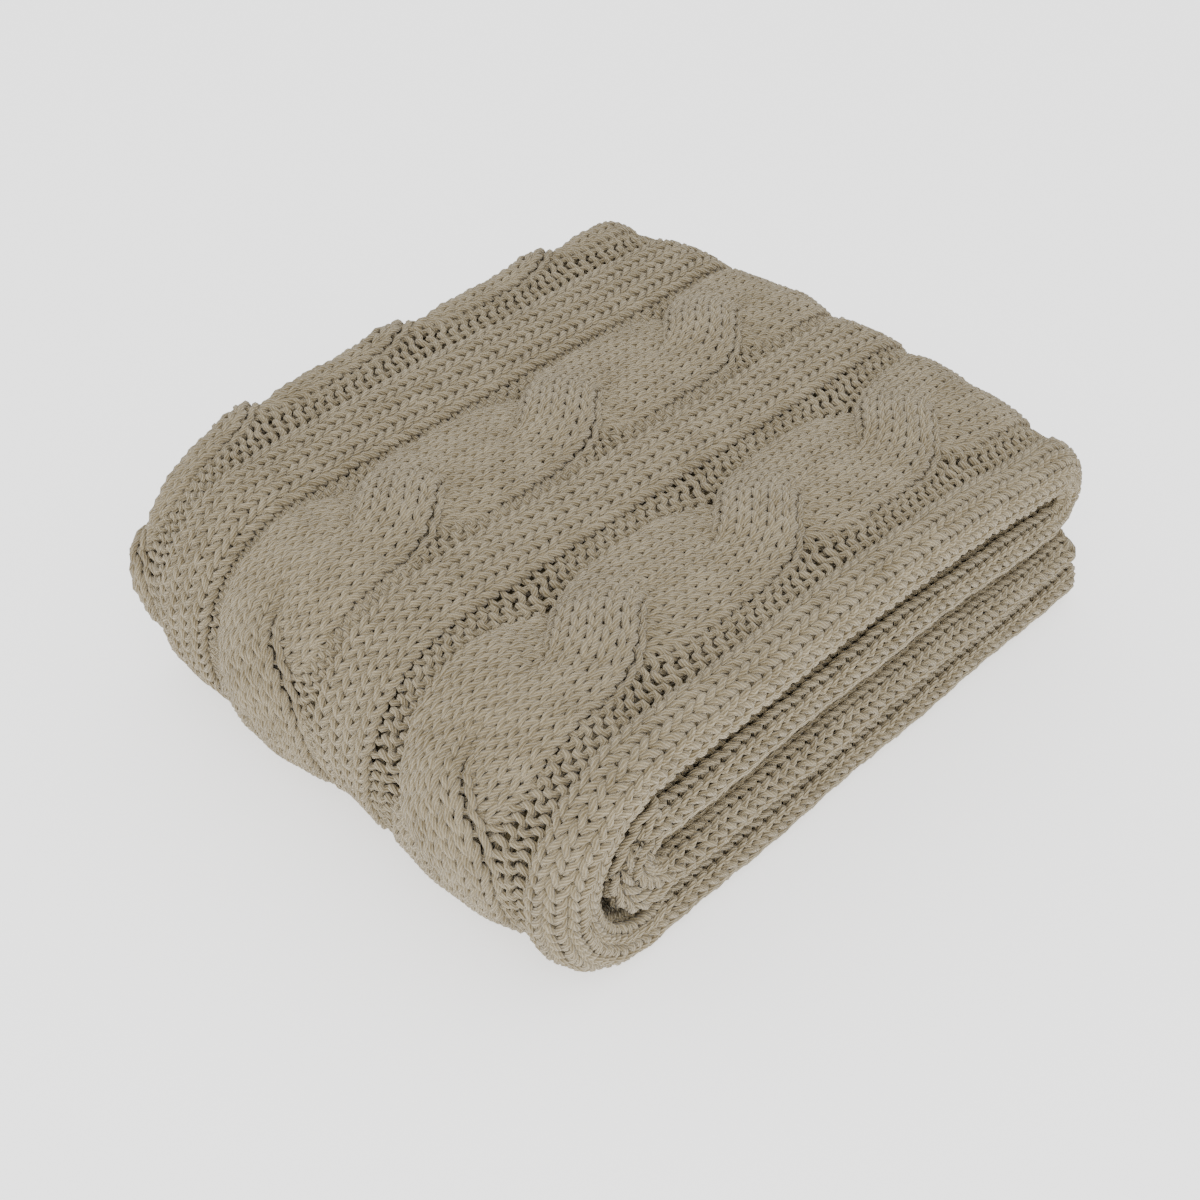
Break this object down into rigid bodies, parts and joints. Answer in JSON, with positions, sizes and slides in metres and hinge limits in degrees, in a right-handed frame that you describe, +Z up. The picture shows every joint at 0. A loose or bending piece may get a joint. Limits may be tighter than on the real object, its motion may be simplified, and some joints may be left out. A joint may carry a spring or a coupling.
{
  "type": "folded throw blanket",
  "caption": "Chunky cable-knit throw blanket in greige yarn, folded into a flat rectangular pack with a round left end.",
  "frame": {"origin": "middle of the flat underside of the folded pack", "axes": "+X along the cables from the round left end to the right end, +Y from the near folds to the selvedge side, +Z up"},
  "size_m": [0.416, 0.334, 0.1288],
  "materials": {
    "yarn": "matte"
  },
  "bodies": {
    "root": {"leaf_3_outer_wrap": "yarn", "leaf_3_inner_wrap": "yarn", "leaf_3_far_fold": "yarn", "leaf_4_outer_wrap": "yarn", "leaf_4_inner_wrap": "yarn", "leaf_4_far_fold": "yarn", "core_fold_outer_wrap": "yarn", "core_fold_inner_wrap": "yarn", "core_fold_far_fold": "yarn", "left_fold_outer_wrap": "yarn", "left_fold_inner_wrap": "yarn", "left_fold_far_fold": "yarn", "cast_on_outer_wrap": "yarn", "cast_on_inner_wrap": "yarn", "bind_off_outer_wrap": "yarn", "bind_off_inner_wrap": "yarn"},
    "upper_pair": {"leaf_1_outer_wrap": "yarn", "leaf_1_inner_wrap": "yarn", "leaf_1_far_fold": "yarn", "leaf_2_outer_wrap": "yarn", "leaf_2_inner_wrap": "yarn", "leaf_2_far_fold": "yarn", "right_fold_outer_wrap": "yarn", "right_fold_inner_wrap": "yarn", "right_fold_far_fold": "yarn"}
  },
  "joints": [
    {"name": "half_fold", "type": "hinge", "parent": "root", "child": "upper_pair", "pos_m": [-0.1726, 0, 0.0644], "axis": [0, -1, 0], "range_deg": [0, 179.5], "deforming": ["core_fold_outer_wrap", "core_fold_inner_wrap", "core_fold_far_fold", "left_fold_outer_wrap", "left_fold_inner_wrap", "left_fold_far_fold"]}
  ]
}
